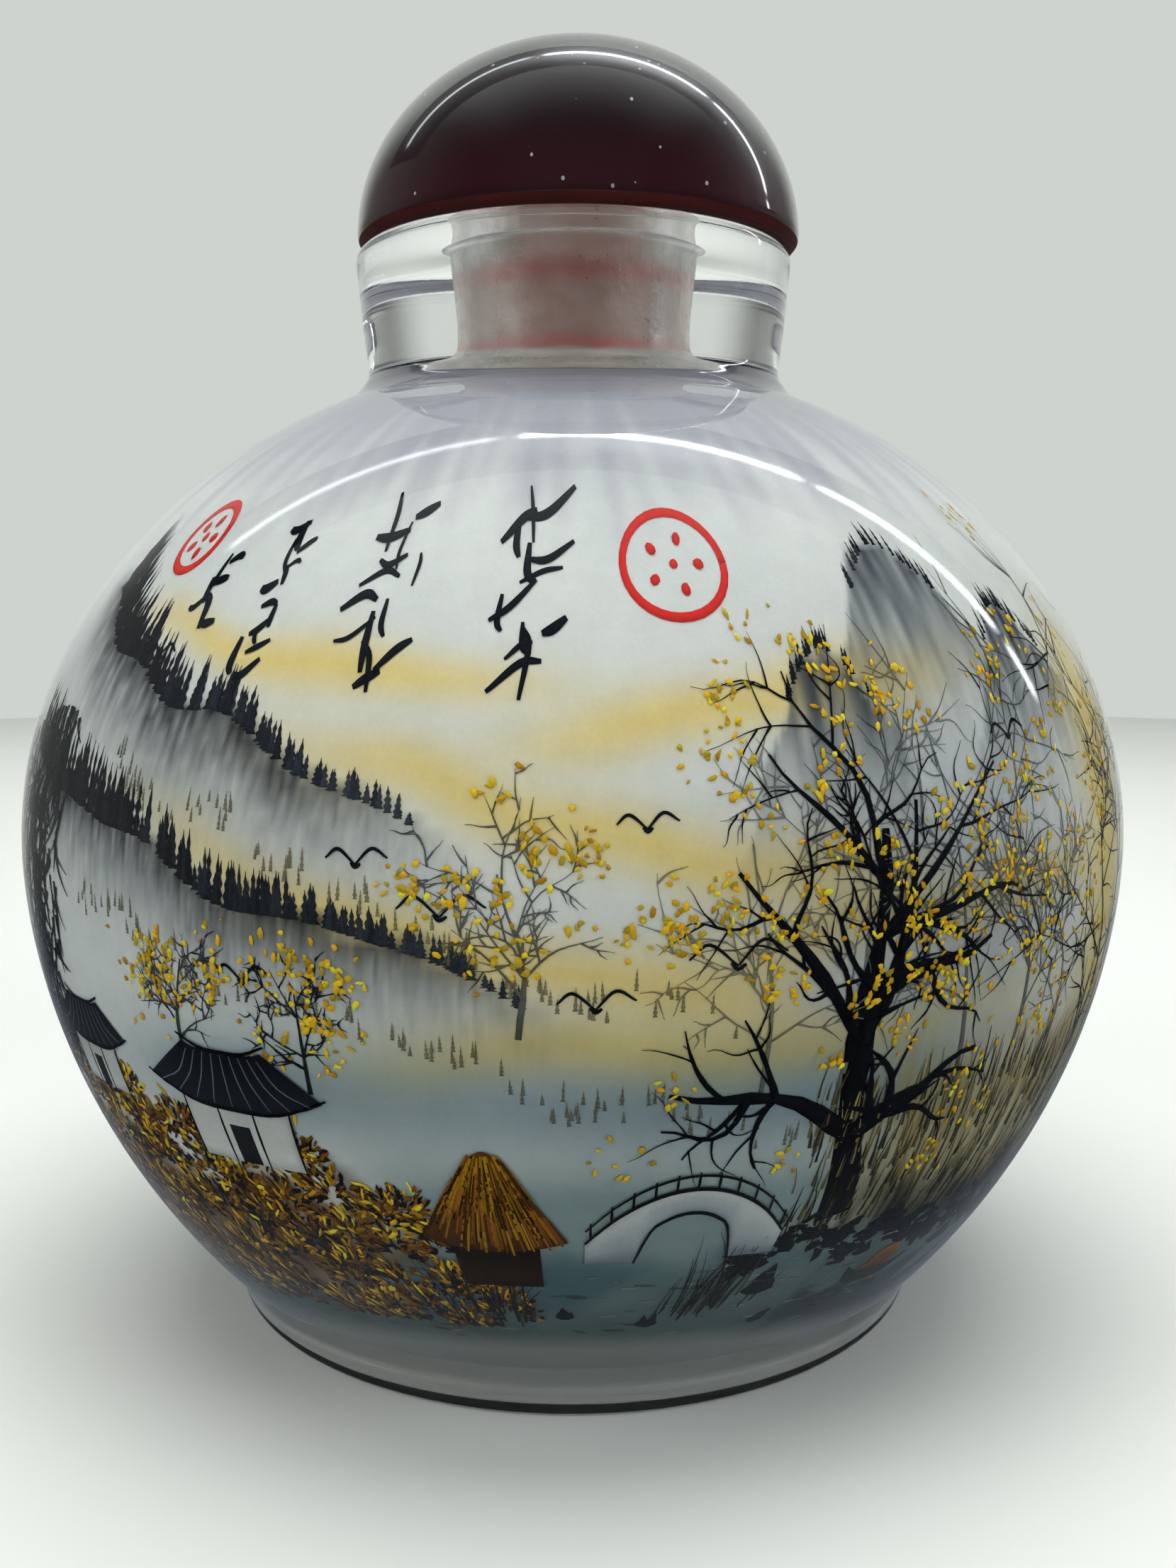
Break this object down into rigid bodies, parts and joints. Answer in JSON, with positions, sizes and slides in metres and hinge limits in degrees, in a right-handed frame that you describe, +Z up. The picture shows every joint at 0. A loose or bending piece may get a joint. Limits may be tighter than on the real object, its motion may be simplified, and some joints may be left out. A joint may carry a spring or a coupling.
{
  "type": "snuff bottle",
  "caption": "Round glass snuff bottle on a low foot ring, hollow and inside-painted, with a thick collar neck and a loose domed stopper with a plug.",
  "frame": {"origin": "centre of the foot ring, on the surface the bottle stands on", "axes": "+Z up along the bottle's axis, -Y towards the front of the painting"},
  "size_m": [0.068, 0.068, 0.0772],
  "materials": {
    "clear_glass": "polished outside, ground matt inside",
    "dark_red_gloss": "polished, finely scratched",
    "red_plug": "satin",
    "inside_paint": "matt watercolour on ground glass"
  },
  "bodies": {
    "root": {"bottle": "clear_glass", "stopper_cap": "dark_red_gloss", "stopper_plug": "red_plug"}
  },
  "joints": []
}
